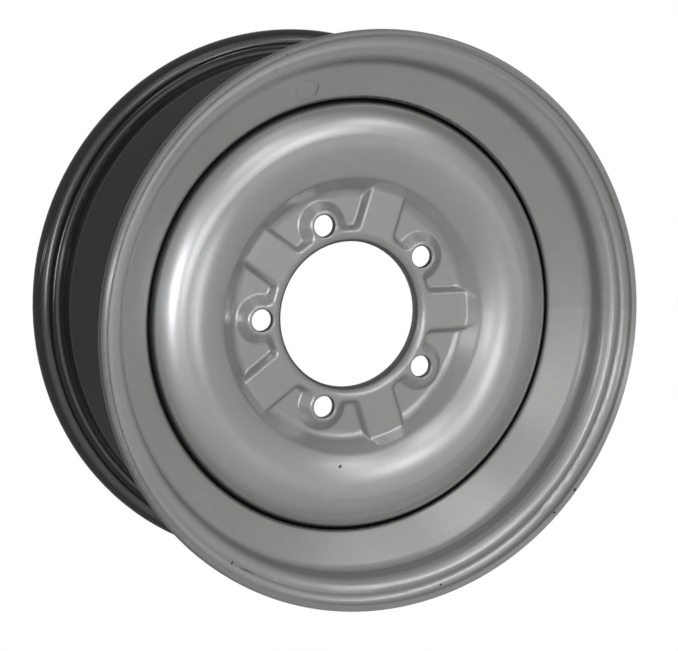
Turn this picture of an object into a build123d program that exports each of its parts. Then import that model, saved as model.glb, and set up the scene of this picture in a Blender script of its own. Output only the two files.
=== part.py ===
# Steel disc wheel, 6 inches wide and 15 inches across the bead seats, with five bolts.
# The wheel's axis is Z, and its outboard face looks up +Z. The origin is on the axis, in the
# plane of the mounting pads, where the wheel meets the hub. Millimetres.

from build123d import *
from math import atan2, cos, hypot, radians, sin, tan
import os

# Rim: the rolled ring that carries the tyre
rim_sheet = 3.2
rim_centre_z = -22.0           # middle plane between the flanges, inboard of the pads
rim_half_width = 76.2          # from that plane to each flange wall
bead_seat_r = 190.1            # where the bead seat would meet the flange wall
bead_seat_taper = 5.0          # degrees
bead_corner_r = 6.5
flange_curl_r = 9.5            # tyre side of the curled flange
flange_top_r = 207.4
flange_curl_end = 50.0         # degrees that the curl goes on past its top
well_r = 158.0                 # inner wall of the well, which holds the disc
well_front_z = 18.05           # corner between the well and the front ramp
well_rear_z = -18.0
front_ramp_angle = 57.0        # degrees from the wheel's axis
rear_seat_end_z = -75.0
front_seat_bend_r = 13.2
rear_seat_bend_r = 9.0
front_well_bend_r = 2.3
rear_well_bend_r = 14.0

# Coined blind spot at the valve's place, on the front ramp
valve_spot_r = 8.7
valve_spot_depth = 0.6
valve_spot_angle = 104.0
valve_spot_ring_r = 170.3

# Disc: the pressed wheel centre
disc_sheet = 5.0
pad_z = 5.0                    # front of the pads, whose backs are the mounting plane
star_step = 6.0                # height of the star above the pads
crest_r = 133.0
crest_z = 27.5
dome_outer_turn = 42.8         # slope where the dome meets the shoulder bend
shoulder_r = 8.0
dome_inner_r = 57.0            # radius of the dome inside its crest
dome_inner_turn = 32.0
brow_r = 8.0                   # bend from the dome into the steep wall
wall_angle = 50.0
wall_foot_r = 9.0              # bend from the steep wall into the pads
flange_end_z = -10.0           # back end of the disc's flange in the well

# Star of ribs and bolt bosses. The ribs climb the steep wall on a gentler wall of their own
bolt_count = 5
bolt_circle_r = 69.85
first_bolt_angle = 36.0
boss_foot_r = 18.3
boss_top_r = 10.8
rib_foot_half = 17.0
rib_top_half = 13.6
rib_reach = 97.0               # the raised ribs end inside the steep wall
ring_foot_r = 66.0
ring_top_r = 63.0
pocket_tip_r = 3.2             # rounding of the pockets' tips at their foot
pocket_tip_growth = 2.0        # more rounding at their top
rib_wall_start_r = 94.0
rib_wall_end_r = 100.0         # there the ribs' wall runs into the steep wall
rib_wall_foot_r = 3.0
rib_wall_overrun = 1.5         # buried end of the ribs' wall
star_edge_r = 2.5              # rounding along the star's top
star_root_r = 1.5              # rounding along its foot
star_back_inset = 1.6          # how far the back's outline lies inside the front's

# Centre bore and bolt holes
bore_r = 54.0
bore_lip_r = 7.0               # rounding of the front edge
bolt_hole_r = 8.0
seat_r = 8.7                   # mouth of the cone seat
seat_half_angle = 30.0
cut_length = 60.0              # bore and holes are cut right through

# Fillet welds between the disc's flange and the rim's well
weld_count = 8
weld_leg = 4.5
weld_bulge = 0.62              # where the bead's round face lies, as a part of its leg
weld_span = 24.0               # degrees
first_weld_angle = 13.5


def flange_curl(side):
    """Arc of the curled flange on the tyre side, from its end to the flange wall."""
    middle_r = flange_top_r - flange_curl_r
    middle_z = rim_centre_z + side * (rim_half_width + flange_curl_r)
    end = radians(flange_curl_end)
    start = (middle_r + flange_curl_r * cos(end), middle_z + side * flange_curl_r * sin(end))
    heading = (sin(end), -side * cos(end))
    return JernArc(start, heading, flange_curl_r, -side * (90 + flange_curl_end))


def rim_outline():
    """Tyre side of the rim's section, front flange first, as one smooth line."""
    front_wall_z = rim_centre_z + rim_half_width
    rear_wall_z = rim_centre_z - rim_half_width
    taper = tan(radians(bead_seat_taper))
    ramp = tan(radians(front_ramp_angle))
    outer_well_r = well_r + rim_sheet
    # the tyre side of the front ramp lies one sheet behind its air side
    corner_drop = rim_sheet * tan(radians(front_ramp_angle / 2))
    well_corner_z = well_front_z - corner_drop
    rise = bead_seat_r - outer_well_r - taper * front_wall_z + ramp * well_corner_z
    seat_end_z = rise / (ramp - taper)
    seat_end_r = bead_seat_r - taper * (front_wall_z - seat_end_z)
    rear_seat_end_r = bead_seat_r - taper * (rear_seat_end_z - rear_wall_z)
    front = flange_curl(1)
    rear = flange_curl(-1)
    middle = FilletPolyline(
        front @ 1,
        (bead_seat_r, front_wall_z),
        (seat_end_r, seat_end_z),
        (outer_well_r, well_corner_z),
        (outer_well_r, well_rear_z),
        (rear_seat_end_r, rear_seat_end_z),
        (bead_seat_r, rear_wall_z),
        rear @ 1,
        radius=[bead_corner_r, front_seat_bend_r, front_well_bend_r,
                rear_well_bend_r, rear_seat_bend_r, bead_corner_r],
    )
    return Wire([*front.edges(), *middle.edges(), *rear.edges()])


def sheet_section(line, thickness, side):
    """Section of a sheet: a line, the line one thickness away, and the two cut ends."""
    outline = offset(line, thickness, side=side, closed=True)
    return Plane.XZ * make_face(outline.edges())


def on_ramp(radius):
    """Height of the front ramp's air side at a radius."""
    return well_front_z + (radius - well_r) / tan(radians(front_ramp_angle))


def valve_spot():
    """Short round punch, square to the ramp, that sinks the spot."""
    lean = 90 - front_ramp_angle
    place = Location((valve_spot_ring_r, 0, on_ramp(valve_spot_ring_r)), (0, -lean, 0))
    punch = Cylinder(valve_spot_r, 2 * valve_spot_depth)
    return Rot(0, 0, valve_spot_angle) * place * punch


def make_rim():
    body = revolve(sheet_section(rim_outline(), rim_sheet, Side.RIGHT), Axis.Z)
    return body - valve_spot()


def dome_inside(depth):
    """Dome from its crest inwards, and the brow that bends it into the steep wall."""
    crest = (crest_r, crest_z - depth)
    dome = JernArc(crest, (-1, 0), dome_inner_r - depth, dome_inner_turn)
    brow = JernArc(dome @ 1, dome % 1, brow_r - depth, wall_angle - dome_inner_turn)
    return dome, brow


def dome_outside(depth):
    """Dome from its crest outwards, the shoulder bend and the flange in the rim's well."""
    crest = (crest_r, crest_z - depth)
    turn = sin(radians(dome_outer_turn))
    dome_outer_r = (well_r - crest_r - shoulder_r * (1 - turn)) / turn
    dome = JernArc(crest, (1, 0), dome_outer_r - depth, -dome_outer_turn)
    shoulder = JernArc(dome @ 1, dome % 1, shoulder_r - depth, dome_outer_turn - 90)
    flange = Line(shoulder @ 1, (well_r - depth, flange_end_z))
    return flange, shoulder, dome


def dish_solid(depth):
    """Everything below the dished surface without its star, a depth below the disc's front."""
    dome, brow = dome_inside(depth)
    foot_r = wall_foot_r + depth
    drop = (brow @ 1).Y - (pad_z - depth) - foot_r * (1 - cos(radians(wall_angle)))
    wall = PolarLine(brow @ 1, drop / sin(radians(wall_angle)), direction=brow % 1)
    foot = JernArc(wall @ 1, wall % 1, foot_r, -wall_angle)
    rest = Polyline(foot @ 1, (0, pad_z - depth), (0, flange_end_z), (well_r - depth, flange_end_z))
    lines = [*dome_outside(depth), dome, brow, wall, foot, rest]
    return revolve(Plane.XZ * make_face([edge for line in lines for edge in line.edges()]), Axis.Z)


def rib_cap(depth):
    """Everything below the ribs' top: level over the star, then the ribs' wall to its buried end."""
    top_z = pad_z + star_step
    brow_foot = dome_inside(0)[1] @ 1
    end_z = brow_foot.Y - (brow_foot.X - rib_wall_end_r) * tan(radians(wall_angle))
    lean = atan2(end_z - top_z, rib_wall_end_r - rib_wall_start_r)
    # a deeper copy of the line is longer, because it bends upwards at both ends
    stretch = tan(lean / 2) + tan((radians(wall_angle) - lean) / 2)
    length = hypot(end_z - top_z, rib_wall_end_r - rib_wall_start_r) + depth * stretch + rib_wall_overrun
    start = (rib_wall_start_r + depth * tan(lean / 2), top_z - depth)
    end = (start[0] + length * cos(lean), start[1] + length * sin(lean))
    top = FilletPolyline((0, start[1]), start, end, radius=rib_wall_foot_r + depth)
    rest = Polyline(end, (end[0], flange_end_z), (0, flange_end_z), (0, start[1]))
    return revolve(Plane.XZ * make_face([*top.edges(), *rest.edges()]), Axis.Z)


def rib_bars(base_z, narrower):
    """Tall bars that carry the ribs' sloped sides on up the wall."""
    side_slope = (rib_foot_half - rib_top_half) / star_step
    height = crest_z - base_z
    low_half = rib_foot_half - narrower
    high_half = low_half - side_slope * height
    section = make_face(Polyline((-low_half, base_z), (low_half, base_z),
                                 (high_half, base_z + height), (-high_half, base_z + height), close=True))
    bar = extrude(Plane.YZ * section, crest_r)
    bars = [Rot(0, 0, first_bolt_angle + (k + 0.5) * 360 / bolt_count) * bar for k in range(bolt_count)]
    return bars[0] + bars[1:]


def star_outline(height, rib_half, boss_r, ring_r, tip_r):
    """Level outline of the star: a ring, five ribs and five bosses with round pocket tips."""
    star = Circle(ring_r)
    for k in range(bolt_count):
        turn = first_bolt_angle + k * 360 / bolt_count
        rib = Pos(rib_reach / 2, 0) * Rectangle(rib_reach, 2 * rib_half)
        star += Rot(0, 0, turn + 180 / bolt_count) * rib
        star += Rot(0, 0, turn) * Pos(bolt_circle_r, 0) * Circle(boss_r)
    tips = [corner for corner in star.vertices() if corner.center().length < ring_r + 1]
    return (Pos(0, 0, height) * fillet(tips, tip_r)).face()


def star_solid(depth, narrower):
    """The raised star with its sloped sides, and its ribs carried on up the wall."""
    base_z = pad_z - depth
    foot = star_outline(base_z, rib_foot_half - narrower, boss_foot_r - narrower,
                        ring_foot_r - narrower, pocket_tip_r + narrower)
    top = star_outline(base_z + star_step, rib_top_half - narrower, boss_top_r - narrower,
                       ring_top_r - narrower, pocket_tip_r + pocket_tip_growth + narrower)
    ribs = rib_bars(base_z, narrower) & rib_cap(depth)
    return (loft([foot, top], ruled=True) + ribs).solid()


def edges_at(solid, height, reach):
    """Edges that lie level at a height, inside a radius."""
    def lies_there(edge):
        box = edge.bounding_box()
        level = abs(box.min.Z - height) < 0.01 and abs(box.max.Z - height) < 0.01
        middle = edge @ 0.5
        return level and hypot(middle.X, middle.Y) < reach
    return [edge for edge in solid.edges() if lies_there(edge)]


def front_solid():
    """Everything behind the disc's front surface."""
    star = star_solid(0, 0)
    star = star.fillet(star_edge_r, edges_at(star, pad_z + star_step, rib_wall_start_r))
    solid = (dish_solid(0) + star).solid()
    return solid.fillet(star_root_r, edges_at(solid, pad_z, rib_wall_start_r))


def back_solid():
    """Everything behind the disc's back surface, one sheet deeper."""
    # round the bore the sheet is turned down to the mounting plane as a collar
    collar = Cylinder(bore_r + disc_sheet, cut_length)
    return dish_solid(disc_sheet) + (star_solid(disc_sheet, star_back_inset) - collar)


def bolt_hole():
    """Bolt hole with its cone seat, on the bolt circle at angle zero."""
    mouth_z = pad_z + star_step
    spread = tan(radians(seat_half_angle))
    seat_depth = (seat_r - bolt_hole_r) / spread
    over = 2.0
    cone = Cone(bolt_hole_r, seat_r + over * spread, seat_depth + over)
    seat = Pos(0, 0, mouth_z + (over - seat_depth) / 2) * cone
    return Pos(bolt_circle_r, 0, 0) * (Cylinder(bolt_hole_r, cut_length) + seat)


def make_disc():
    disc = front_solid() - back_solid() - Cylinder(bore_r, cut_length)
    for k in range(bolt_count):
        disc -= Rot(0, 0, first_bolt_angle + k * 360 / bolt_count) * bolt_hole()
    return disc.solid().fillet(bore_lip_r, edges_at(disc, pad_z + star_step, bore_r + 1))


def weld_bead(angle):
    """One fillet weld in the corner behind the disc's flange, with a bulging face."""
    corner = (well_r, flange_end_z)
    across = (well_r - weld_leg, flange_end_z)
    along = (well_r, flange_end_z - weld_leg)
    bulge = (well_r - weld_bulge * weld_leg, flange_end_z - weld_bulge * weld_leg)
    sides = [Line(corner, across), ThreePointArc(across, bulge, along), Line(along, corner)]
    section = Plane.XZ * make_face([edge for side in sides for edge in side.edges()])
    return Rot(0, 0, angle) * revolve(section, Axis.Z, revolution_arc=weld_span)


def main():
    os.makedirs("parts", exist_ok=True)
    pieces = {"rim": make_rim(), "disc": make_disc()}
    for k in range(weld_count):
        pieces[f"weld_bead_{k + 1}"] = weld_bead(first_weld_angle + k * 360 / weld_count)
    for name, piece in pieces.items():
        export_step(piece, f"parts/{name}.step")
        print(name, "volume", round(piece.volume), "mm3")


if __name__ == "__main__":
    main()
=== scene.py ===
# %% [markdown]
# # A steel disc wheel in satin silver paint
# The wheel is two pressings held by weld beads: a rolled rim that carries the tyre, and a domed
# disc that bolts to the hub. Their shapes come ready made in the frame, so this lesson is about
# paint: a satin silver sprayed over gloss black, and the light that shows the pressed shapes.
# All lengths are in metres. The wheel's axis is Z, and its face looks up.

# %% Load the frame and keep its box
import bpy
from math import cos, degrees, radians, sin
from mathutils import Matrix, Vector


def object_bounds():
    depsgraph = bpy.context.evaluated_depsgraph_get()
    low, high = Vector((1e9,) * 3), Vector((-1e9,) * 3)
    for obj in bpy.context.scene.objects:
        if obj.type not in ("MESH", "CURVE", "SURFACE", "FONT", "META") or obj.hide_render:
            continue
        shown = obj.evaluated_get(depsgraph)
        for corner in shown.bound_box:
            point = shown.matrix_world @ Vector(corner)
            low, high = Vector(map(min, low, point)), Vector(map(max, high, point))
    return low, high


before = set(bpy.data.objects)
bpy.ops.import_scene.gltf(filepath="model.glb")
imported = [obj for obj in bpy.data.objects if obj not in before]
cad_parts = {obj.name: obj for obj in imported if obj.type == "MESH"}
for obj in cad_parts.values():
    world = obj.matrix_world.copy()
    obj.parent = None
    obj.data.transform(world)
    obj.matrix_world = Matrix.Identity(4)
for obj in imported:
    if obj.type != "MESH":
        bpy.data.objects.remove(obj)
cad_low, cad_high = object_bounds()
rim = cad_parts["rim"]
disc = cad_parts["disc"]
weld_beads = [node for name, node in sorted(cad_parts.items())
              if name.startswith("weld_bead")]
print("pieces:", len(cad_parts), "outer diameter", round(cad_high.x - cad_low.x, 4), "m")

# %% [markdown]
# ## The camera
# The wheel lies on its back flange. The camera looks down on its face from about a metre and a
# half, tilted a little to one side, with a long lens that keeps the near and far flanges nearly
# the same size. Its place, aim and roll follow from the ellipses that the wheel's rings make.

# %% Camera
scene = bpy.context.scene
frame_width_px = 678
focal_px = 2017
sensor_width_mm = 36.0
camera_place = Vector((-0.5839, 0.2032, 1.3494))
camera_aim = Vector((-0.0056, -0.0084, 0.0))
camera_up = Vector((0.0528, 0.9898, -0.1326))

back = (camera_place - camera_aim).normalized()
right = camera_up.cross(back).normalized()
up = back.cross(right)
camera = bpy.data.objects.new("camera", bpy.data.cameras.new("camera"))
turn = Matrix((right, up, back)).transposed()
camera.matrix_world = Matrix.Translation(camera_place) @ turn.to_4x4()
camera.data.sensor_width = sensor_width_mm
camera.data.lens = sensor_width_mm * focal_px / frame_width_px
scene.collection.objects.link(camera)
scene.camera = camera
tilt = degrees(back.angle(Vector((0, 0, 1))))
print("lens", round(camera.data.lens, 1), "mm, tilted", round(tilt, 1), "degrees off the axis")

# %% [markdown]
# ## The floor
# The floor is a plain pale sheet. A catalogue picture burns it out to white, so to the camera the
# sheet glows, while to the wheel it's an ordinary pale floor that only returns soft light.

# %% Floor
floor_reach = 4.0
floor_colour = (0.82, 0.82, 0.82, 1)
floor_roughness = 0.9
white = (1, 1, 1, 1)


def make_floor():
    corners = [(x * floor_reach, y * floor_reach, cad_low.z)
               for x, y in ((-1, -1), (1, -1), (1, 1), (-1, 1))]
    mesh = bpy.data.meshes.new("floor")
    mesh.from_pydata(corners, [], [(0, 1, 2, 3)])
    floor = bpy.data.objects.new("floor", mesh)
    scene.collection.objects.link(floor)
    return floor


def make_floor_material():
    material = bpy.data.materials.new("floor")
    material.use_nodes = True
    nodes, links = material.node_tree.nodes, material.node_tree.links
    shader = nodes["Principled BSDF"]
    shader.inputs["Base Color"].default_value = floor_colour
    shader.inputs["Roughness"].default_value = floor_roughness
    glow = nodes.new("ShaderNodeEmission")
    glow.inputs["Color"].default_value = white
    glow.inputs["Strength"].default_value = 1.0
    path = nodes.new("ShaderNodeLightPath")
    mix = nodes.new("ShaderNodeMixShader")
    links.new(path.outputs["Is Camera Ray"], mix.inputs["Fac"])
    links.new(shader.outputs["BSDF"], mix.inputs[1])
    links.new(glow.outputs["Emission"], mix.inputs[2])
    links.new(mix.outputs["Shader"], nodes["Material Output"].inputs["Surface"])
    return material


make_floor().data.materials.append(make_floor_material())
print("floor at z", round(cad_low.z, 4), "m")

# %% [markdown]
# ## The light
# Painted sheet metal shows its shape by what it mirrors. Most of the light is an even, soft
# surround. Thirteen soft panels stand round the wheel at different heights, and each draws a
# streak wherever the metal leans halfway between the panel and the camera. Two of them have a
# grid in front, which lets out only a narrow beam. They brighten one side of the dome and leave
# the flat bands beside it alone, though those would mirror the same panel.

# %% Lights
surround_colour = (1.0, 1.0, 0.98, 1)
surround_strength = 0.43
cool = (0.93, 0.95, 1.0)
cooler = (0.92, 0.93, 1.0)


def soft_light(name, bearing, height, size, power, colour=(1, 1, 1),
               distance=1.5, aim=(0, 0, 0), beam=180):
    """A square panel that faces its aim. Bearing is from +X and height from the floor."""
    data = bpy.data.lights.new(name, "AREA")
    data.shape = "SQUARE"
    data.size = size
    data.energy = power
    data.color = colour
    data.spread = radians(beam)
    light = bpy.data.objects.new(name, data)
    flat = cos(radians(height)) * distance
    away = Vector((flat * cos(radians(bearing)), flat * sin(radians(bearing)),
                   sin(radians(height)) * distance))
    light.location = Vector(aim) + away
    light.rotation_euler = away.to_track_quat("Z", "Y").to_euler()
    scene.collection.objects.link(light)


# name, bearing, height, size, power, colour
soft_light("light_overhead", 0, 90, 0.15, 0.90)
soft_light("light_high_left", 184, 71, 0.15, 0.45, (0.95, 0.96, 1.0))
soft_light("light_upper_right", 50, 50, 0.3, 0.70, (0.97, 0.98, 1.0))
soft_light("light_high_right", 45, 69, 0.2, 0.90)
soft_light("light_low_right", 345, 62, 0.2, 0.08)
soft_light("light_top", 90, 62, 0.3, 0.80, (0.96, 0.97, 1.0))
soft_light("light_top_left", 150, 58, 0.3, 0.35, cool)
soft_light("light_left", 178, 42, 0.12, 0.15, (0.93, 0.94, 1.0))
soft_light("light_low_left", 170, 21, 0.12, 0.50, cooler)
soft_light("light_grazing", 172, 7, 0.2, 0.50, cooler)
soft_light("light_low_top", 95, 38, 0.4, 0.50, cooler)
soft_light("light_grid_left", 178, 71, 0.3, 0.035, cool,
           distance=1.0, aim=(-0.14, 0.02, 0.03), beam=20)
soft_light("light_grid_inner", 344, 55, 0.08, 0.0007, cool,
           distance=0.4, aim=(-0.15, 0.03, 0.03), beam=12)

world = bpy.data.worlds.new("studio")
world.use_nodes = True
surround = world.node_tree.nodes["Background"]
surround.inputs["Color"].default_value = surround_colour
surround.inputs["Strength"].default_value = surround_strength
scene.world = world
scene.view_settings.view_transform = "Standard"

# %% [markdown]
# ## Helpers for paint recipes
# A paint here is a recipe: masks that say where each coat lies, and noises that make it uneven.
# Each helper adds one step of a recipe, so a recipe reads as a list of steps. A value that goes
# into a step is either a plain number or what another step puts out.

# %% Node helpers
def add(tree, kind, **settings):
    """A new node of one kind, with its settings given by name."""
    made = tree.nodes.new("ShaderNode" + kind)
    for name, value in settings.items():
        setattr(made, name, value)
    return made


def feed(tree, socket, value):
    """Link a socket to another node's output, or set it to a plain value."""
    if isinstance(value, bpy.types.NodeSocket):
        tree.links.new(value, socket)
    else:
        socket.default_value = value


def feed_all(tree, sockets, values):
    for socket, value in zip(sockets, values):
        feed(tree, socket, value)


def maths(tree, operation, *values):
    made = add(tree, "Math", operation=operation)
    feed_all(tree, made.inputs, values)
    return made.outputs[0]


def times(tree, *values):
    """The product of any number of masks: what lies in all of them."""
    result = values[0]
    for value in values[1:]:
        result = maths(tree, "MULTIPLY", result, value)
    return result


def larger(tree, first, second):
    """The larger of two masks: what lies in either of them."""
    return maths(tree, "MAXIMUM", first, second)


def without(tree, mask):
    """One minus a mask: what lies outside it."""
    return maths(tree, "SUBTRACT", 1.0, mask)


def fade(tree, value, low, high, start=0.0, end=1.0):
    """Smooth step: start below low, end above high."""
    made = add(tree, "MapRange", interpolation_type="SMOOTHSTEP")
    feed_all(tree, made.inputs, (value, low, high, start, end))
    return made.outputs[0]


def band(tree, value, rise, fall):
    """A mask that rises between two values and falls between two others."""
    return times(tree, fade(tree, value, *rise), fade(tree, value, *fall, 1.0, 0.0))


def mix_number(tree, mask, first, second):
    made = add(tree, "Mix", data_type="FLOAT")
    feed_all(tree, (made.inputs[0], made.inputs[2], made.inputs[3]), (mask, first, second))
    return made.outputs[0]


def mix_colour(tree, mask, first, second):
    made = add(tree, "Mix", data_type="RGBA")
    feed_all(tree, (made.inputs[0], made.inputs[6], made.inputs[7]), (mask, first, second))
    return made.outputs[2]


def shade_colour(tree, colour, shade):
    """A colour made lighter or darker by a factor."""
    made = add(tree, "VectorMath", operation="SCALE")
    feed(tree, made.inputs[0], colour)
    feed(tree, made.inputs["Scale"], shade)
    return made.outputs[0]


def noise(tree, place, cells_per_metre, detail=2.0):
    made = add(tree, "TexNoise")
    feed(tree, made.inputs["Vector"], place)
    made.inputs["Scale"].default_value = cells_per_metre
    made.inputs["Detail"].default_value = detail
    return made.outputs["Fac"]


def split(tree, vector):
    """The X, Y and Z of a vector."""
    made = add(tree, "SeparateXYZ")
    feed(tree, made.inputs[0], vector)
    return made.outputs


def add_bump(tree, height, strength, distance):
    """A bump node between a height and the shader's normal."""
    made = add(tree, "Bump")
    made.inputs["Strength"].default_value = strength
    made.inputs["Distance"].default_value = distance
    feed(tree, made.inputs["Height"], height)
    feed(tree, tree.nodes["Principled BSDF"].inputs["Normal"], made.outputs[0])
    return made


def new_group(name, inputs, outputs):
    """An empty node group with its sockets, and what carries them in and out."""
    tree = bpy.data.node_groups.new(name, "ShaderNodeTree")
    for way, sockets in (("INPUT", inputs), ("OUTPUT", outputs)):
        for socket, kind in sockets:
            tree.interface.new_socket(name=socket, in_out=way, socket_type="NodeSocket" + kind)
    given = tree.nodes.new("NodeGroupInput").outputs
    return tree, given, tree.nodes.new("NodeGroupOutput").inputs


def use_group(tree, group, **values):
    """A copy of a group in a recipe, with its inputs fed by name."""
    made = add(tree, "Group", node_tree=group)
    for name, value in values.items():
        feed(tree, made.inputs[name], value)
    return made.outputs


print("helpers ready")

# %% [markdown]
# ## Sprayed film
# A sprayed coat is never quite even. Its flakes make a fine shimmer, the gun's passes leave broad
# lighter and darker clouds, and the wet film dries with a shallow orange peel. One group makes all
# of these, so the silver and the black share the same kind of film.

# %% Group: sprayed film
flake_cells = 2600                     # cells of each noise in a metre
mottle_cells = 160
cloud_cells = 16
peel_cells = 420
flake_depth = 0.10                     # how far each noise lightens and darkens the paint
mottle_depth = 0.10
cloud_depth = 0.16


def make_film():
    tree, given, out = new_group("sprayed film", [("Place", "Vector")],
                                 [("Shade", "Float"), ("Peel", "Float"), ("Clouds", "Float")])
    place = given["Place"]

    def unevenness(pattern, depth):
        return maths(tree, "MULTIPLY_ADD", pattern, depth, 1 - depth / 2)

    clouds = noise(tree, place, cloud_cells, 3.0)
    flakes = unevenness(noise(tree, place, flake_cells, 1.0), flake_depth)
    mottle = unevenness(noise(tree, place, mottle_cells, 3.0), mottle_depth)
    feed(tree, out["Shade"], times(tree, flakes, unevenness(clouds, cloud_depth), mottle))
    feed(tree, out["Clouds"], clouds)
    feed(tree, out["Peel"], noise(tree, place, peel_cells, 1.0))
    return tree


film = make_film()
print("group:", film.name, "with", len(film.nodes), "nodes")

# %% [markdown]
# ## Marks
# Handling leaves a few marks on a stored wheel: short scratches down to the black, specks of dirt
# and small chips along the flange. Each is the same shape, a soft ellipse with a ragged edge, laid
# at its own place on the wheel, so one group serves for all of them.

# %% Group: mark
ragged_cells = 1400
ragged_least = 0.05                    # the edge wanders between these shares of the ellipse
ragged_depth = 0.9
edge_softness = 0.9


def make_mark():
    tree, given, out = new_group(
        "mark", [("Place", "Vector"), ("Centre", "Vector"), ("Length", "Float"),
                 ("Width", "Float"), ("Turn", "Float")], [("Mask", "Float")])
    offset = add(tree, "VectorMath", operation="SUBTRACT")
    feed_all(tree, offset.inputs, (given["Place"], given["Centre"]))
    turned = add(tree, "VectorRotate", rotation_type="Z_AXIS")
    feed(tree, turned.inputs["Vector"], offset.outputs[0])
    feed(tree, turned.inputs["Angle"], given["Turn"])
    parts = split(tree, turned.outputs[0])
    shares = [maths(tree, "DIVIDE", parts["X"], given["Length"]),
              maths(tree, "DIVIDE", parts["Y"], given["Width"]),
              maths(tree, "DIVIDE", parts["Z"], given["Length"])]
    x_square, y_square, z_square = [maths(tree, "MULTIPLY", share, share) for share in shares]
    distance = maths(tree, "ADD", maths(tree, "ADD", x_square, y_square), z_square)
    grain = noise(tree, given["Place"], ragged_cells, 2.0)
    edge = maths(tree, "MULTIPLY_ADD", grain, ragged_depth, ragged_least)
    outer_edge = maths(tree, "ADD", edge, edge_softness)
    feed(tree, out["Mask"], fade(tree, distance, edge, outer_edge, 1.0, 0.0))
    return tree


mark = make_mark()


def marks(tree, place, spots):
    """Marks in one mask: for each its centre, half length and half width in mm, and its turn."""
    mask = 0.0
    for centre, length, width, angle in spots:
        one = use_group(tree, mark, Place=place, Centre=[mm / 1000 for mm in centre],
                        Length=length / 1000, Width=width / 1000, Turn=radians(-angle))
        mask = larger(tree, mask, one["Mask"])
    return mask


print("group:", mark.name, "with", len(mark.nodes), "nodes")

# %% [markdown]
# ## One paint, two coats
# The wheel is dipped or sprayed gloss black all over, and then its face gets satin silver. Both
# coats go in one shader: a mask of zero is black, a mask of one is silver, and what lies between
# is overspray. Silver is mostly metal flake in clear binder, so it's rather metallic and rough.
# Dirt and painted shade lie on top of both, dull and without metal.

# %% Two-coat paint
silver_colour = (0.50, 0.50, 0.49, 1)
black_colour = (0.016, 0.016, 0.018, 1)
# This dark colour serves both real dirt specks and painted shade.
dirt_and_shade_colour = (0.06, 0.055, 0.05, 1)
silver_metal = 0.8
silver_roughness = 0.31
black_roughness = 0.13
dirt_and_shade_roughness = 0.6
cloud_roughness = 0.05                 # the clouds change the roughness by this much in all
peel_strength = 0.06
peel_height = 0.0002
flow_samples = 8


def new_paint(name):
    """A material, and the place and the normal of its faces on the object."""
    material = bpy.data.materials.new(name)
    material.use_nodes = True
    coordinates = add(material.node_tree, "TexCoord").outputs
    return material, material.node_tree, coordinates["Object"], coordinates["Normal"]


def directions(tree, place, normal):
    """Radius, height, how far a face looks up, and how far it looks away from the axis."""
    x, y, z = split(tree, place)
    nx, ny, nz = split(tree, normal)
    square = maths(tree, "ADD", maths(tree, "MULTIPLY", x, x), maths(tree, "MULTIPLY", y, y))
    radius = maths(tree, "SQRT", square)
    outward = maths(tree, "ADD", maths(tree, "MULTIPLY", x, nx), maths(tree, "MULTIPLY", y, ny))
    return radius, z, nz, maths(tree, "DIVIDE", outward, radius)


def finish_paint(tree, place, silver, dirt_and_shade, tint=silver_colour, flow=None):
    """Join the masks and the film's unevenness to the shader. Flow rounds corners in the film."""
    shader = tree.nodes["Principled BSDF"]
    layer = use_group(tree, film, Place=place)
    paint = shade_colour(tree, mix_colour(tree, silver, black_colour, tint), layer["Shade"])
    # Real dirt and painted shade darken the paint with the same colour.
    feed(tree, shader.inputs["Base Color"], mix_colour(tree, dirt_and_shade, paint, dirt_and_shade_colour))
    metal = times(tree, silver, without(tree, dirt_and_shade), silver_metal)
    feed(tree, shader.inputs["Metallic"], metal)
    rough = mix_number(tree, silver, black_roughness, silver_roughness)
    smoothest = maths(tree, "SUBTRACT", rough, cloud_roughness / 2)
    rough = maths(tree, "MULTIPLY_ADD", layer["Clouds"], cloud_roughness, smoothest)
    feed(tree, shader.inputs["Roughness"], mix_number(tree, dirt_and_shade, rough, dirt_and_shade_roughness))
    bump = add_bump(tree, layer["Peel"], peel_strength, peel_height)
    if flow:
        corners = add(tree, "Bevel", samples=flow_samples)
        corners.inputs["Radius"].default_value = flow
        feed(tree, bump.inputs["Normal"], corners.outputs[0])


def dress(piece, material):
    """Put a material in every slot of a piece."""
    for slot in piece.material_slots:
        slot.material = material
    print(piece.name, "wears", material.name)


print("coats: silver", silver_colour[:3], "over black", black_colour[:3])

# %% [markdown]
# ## Paint on the rim
# The silver was sprayed at the face, so it covers the air side of the front half: everything that
# looks up or towards the axis. At the bottom of the groove it fades to black, which is partly bare
# black paint and partly painted shade. It wraps round the curled flange and thins out on the
# curl's underside. A few grains reach the rear flange as a mist, and two thin rings of silver on
# its crown and on one step are painted highlight lines. The tyre side stays black. A dark band in
# the corner of the front flange is painted shade, and so is a broken dark line round the blind
# spot that is stamped for the valve.

# %% Rim paint
# A pair is where a mask starts and where it is full, or where it begins and ends to fall off.
# Below this height the silver fades to black in the groove: partly bare black paint, partly
# painted shade.
silver_from_z = 0.0165, 0.0185         # bottom of the groove
air_side_up = -0.02, 0.05              # how far a face looks up, or in, to count as air side
air_side_in = -0.02, -0.08
curl_from_r = 0.1965, 0.1985           # the front flange starts to curl
curl_looks_out = 0.15, 0.45
wrap_looks_up = -0.1, 1.0              # round the curl the silver thins out with this
wrap_silver = 0.0, 0.95
wrap_ragged = 0.3
wrap_ragged_shift = -0.2
rear_flange_z = -0.088, -0.095
rear_looks_up = 0.3, 0.8
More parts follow.
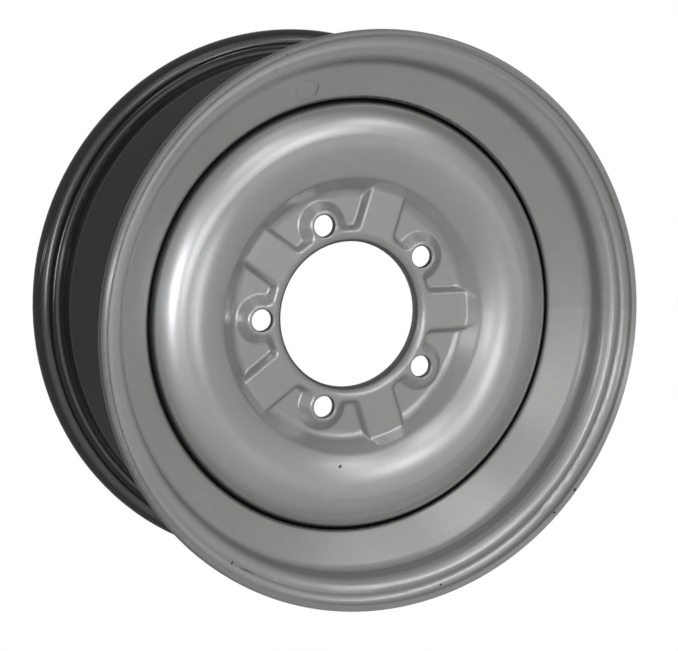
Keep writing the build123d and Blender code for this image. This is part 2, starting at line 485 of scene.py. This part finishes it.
# The crown and step rings are painted highlight lines: thin rings of silver on the black flange.
crown_rise, crown_fall = (0.1968, 0.1990), (0.2005, 0.2040)
step_rise, step_fall = (0.1908, 0.1914), (0.1922, 0.1930)
corner_rise, corner_fall = (0.1925, 0.1945), (0.1970, 0.1995)
grain_cells = 1500
grit_cells = 2600
grit_share = 0.55, 0.70
mist_amount = 0.05
highlight_ring_amount = 0.20
highlight_ring_grit = 0.30
valve_spot = (-0.042, 0.164, 0.0246)
valve_spot_r = 0.0086
# The dark line round the valve spot and the dark band in the flange corner are painted shade.
valve_shade_width = 0.0002, 0.0008
valve_shade_share = 0.35, 0.6
valve_shade_depth, corner_shade_depth, speck_dirt = 0.35, 0.22, 0.4

scratch_list = [((-111, -163, 57.4), 1.5, 0.6, 60), ((-99.5, -170, 57.4), 7.0, 0.3, -28)]
chip_list = [((155.5, -131, 70), 1.3, 0.7, 50), ((139, -147, 69), 1.0, 0.6, 40),
             ((51, -195.5, 59), 1.0, 0.6, 10), ((-193, -61, 69.5), 0.8, 0.6, 0)]
dirt_list = [((-75, 190, 70.3), 1.5, 1.0, 20), ((-78, 180, 57.4), 1.8, 1.0, 10)]


def face_silver(tree, place, front, radius, looks_up, looks_out):
    """The silver of the face: all of the air side, thinner round the curl."""
    looks_in = fade(tree, looks_out, *air_side_in)
    air_side = larger(tree, fade(tree, looks_up, *air_side_up), looks_in)
    curl = times(tree, fade(tree, radius, *curl_from_r), fade(tree, looks_out, *curl_looks_out))
    grains = noise(tree, place, grain_cells)
    ragged = maths(tree, "MULTIPLY_ADD", grains, wrap_ragged, wrap_ragged_shift)
    wrap = maths(tree, "ADD", fade(tree, looks_up, *wrap_looks_up), ragged)
    return times(tree, front, mix_number(tree, curl, air_side, fade(tree, wrap, *wrap_silver)))


def rear_silver(tree, place, radius, z, looks_up):
    """The mist of silver on the rear flange, with two rings of silver that are painted highlight
    lines.
    """
    grit = fade(tree, noise(tree, place, grit_cells, 1.0), *grit_share)
    crown = band(tree, radius, crown_rise, crown_fall)
    highlight_rings = larger(tree, crown, band(tree, radius, step_rise, step_fall))
    ring_silver = maths(tree, "MULTIPLY_ADD", grit, highlight_ring_grit, highlight_ring_amount)
    mist = maths(tree, "MULTIPLY_ADD", highlight_rings, ring_silver, times(tree, grit, mist_amount))
    there = fade(tree, z, *rear_flange_z)
    return times(tree, there, fade(tree, looks_up, *rear_looks_up), mist)


def valve_spot_shade(tree, place):
    """A broken dark line round the valve spot: painted shade."""
    spot = add(tree, "VectorMath", operation="DISTANCE")
    feed(tree, spot.inputs[0], place)
    spot.inputs[1].default_value = valve_spot
    off_ring = maths(tree, "SUBTRACT", spot.outputs["Value"], valve_spot_r)
    line = fade(tree, maths(tree, "ABSOLUTE", off_ring), *valve_shade_width, 1.0, 0.0)
    return times(tree, line, fade(tree, noise(tree, place, grain_cells), *valve_shade_share))


def rim_paint():
    material, tree, place, normal = new_paint("rim paint")
    radius, z, looks_up, looks_out = directions(tree, place, normal)
    front = fade(tree, z, *silver_from_z)
    face = face_silver(tree, place, front, radius, looks_up, looks_out)
    rear = rear_silver(tree, place, radius, z, looks_up)
    worn = larger(tree, marks(tree, place, scratch_list), marks(tree, place, chip_list))
    silver = times(tree, larger(tree, face, rear), without(tree, worn))
    # Painted shade: a dark band in the corner of the front flange and a dark line round the valve
    # spot.
    corner = times(tree, front, band(tree, radius, corner_rise, corner_fall))
    painted_shade = larger(tree, times(tree, valve_spot_shade(tree, place), valve_shade_depth),
                   times(tree, corner, corner_shade_depth))
    specks = times(tree, marks(tree, place, dirt_list), speck_dirt)
    finish_paint(tree, place, silver, larger(tree, specks, painted_shade))
    print("rim paint:", len(scratch_list) + len(chip_list) + len(dirt_list), "marks")
    return material


dress(rim, rim_paint())

# %% [markdown]
# ## Paint on the disc
# The gun reached the whole front of the disc, but not the bottom of the narrow groove between its
# shoulder and the rim: there the silver fades back to black, which is partly bare black paint and
# partly painted shade. The back of the disc is black too. In the hollow round the bore the silver
# is
# a little darker than on the dome: painted shade. A wet film rounds small corners, so the shading
# is softened over two millimetres.

# %% Disc paint
groove_r = 0.1520, 0.1545              # outer wall of the disc's shoulder
groove_bottom_z = 0.0185, 0.0215
# Painted shade: the silver is darker in the hollow round the bore.
hollow_r = 0.085, 0.100
shaded_hollow_silver = 0.89
front_looks_up = -0.30, -0.05
disc_silver = (0.53, 0.53, 0.53, 1)
film_flow = 0.002
speck_list = [((-14, -109, 22.7), 1.6, 1.0, 30)]


def disc_paint():
    material, tree, place, normal = new_paint("disc paint")
    radius, z, looks_up, _ = directions(tree, place, normal)
    # The groove fades to black: partly bare black paint, partly painted shade.
    bottom = fade(tree, z, *groove_bottom_z, 1.0, 0.0)
    groove = times(tree, fade(tree, radius, *groove_r), bottom)
    front = fade(tree, looks_up, *front_looks_up)
    # Painted shade darkens the silver in the hollow.
    hollow = fade(tree, radius, *hollow_r, shaded_hollow_silver, 1.0)
    clean = without(tree, marks(tree, place, speck_list))
    silver = times(tree, without(tree, groove), front, hollow, clean)
    finish_paint(tree, place, silver, 0.0, tint=disc_silver, flow=film_flow)
    return material


dress(disc, disc_paint())

# %% [markdown]
# ## Paint on the weld beads
# A weld bead is a row of frozen puddles. Its ripples are crescents about two millimetres apart
# along the bead, under the same black coat. They're too fine to need geometry, so a bump
# that runs with the angle about the axis makes them.

# %% Weld paint
ripples_per_turn = 470
bead_z = -0.0122                       # middle of the beads, where the crescents point
crescent_bow = 1500
wobble_cells = 250
wobble_amount = 2.5
ripple_shade = 0.5
ripple_strength = 0.8
ripple_height = 0.0004
weld_roughness = 0.28
weld_cloud_roughness = 0.2


def weld_paint():
    material, tree, place, _ = new_paint("weld paint")
    x, y, z = split(tree, place)
    angle = maths(tree, "ARCTAN2", y, x)
    off_middle = maths(tree, "ABSOLUTE", maths(tree, "ADD", z, -bead_z))
    bow = maths(tree, "MULTIPLY", off_middle, crescent_bow)
    wobble = maths(tree, "MULTIPLY", noise(tree, place, wobble_cells), wobble_amount)
    crescents = maths(tree, "MULTIPLY_ADD", angle, ripples_per_turn, bow)
    phase = maths(tree, "ADD", crescents, wobble)
    wave = maths(tree, "SINE", maths(tree, "MULTIPLY", phase, 0.5))
    ripple = maths(tree, "ABSOLUTE", wave)
    layer = use_group(tree, film, Place=place)
    shader = tree.nodes["Principled BSDF"]
    shade = maths(tree, "MULTIPLY_ADD", ripple, ripple_shade, layer["Shade"])
    feed(tree, shader.inputs["Base Color"], shade_colour(tree, black_colour[:3], shade))
    rough = maths(tree, "MULTIPLY_ADD", layer["Clouds"], weld_cloud_roughness, weld_roughness)
    feed(tree, shader.inputs["Roughness"], rough)
    add_bump(tree, ripple, ripple_strength, ripple_height)
    return material


weld_coat = weld_paint()
for bead in weld_beads:
    dress(bead, weld_coat)
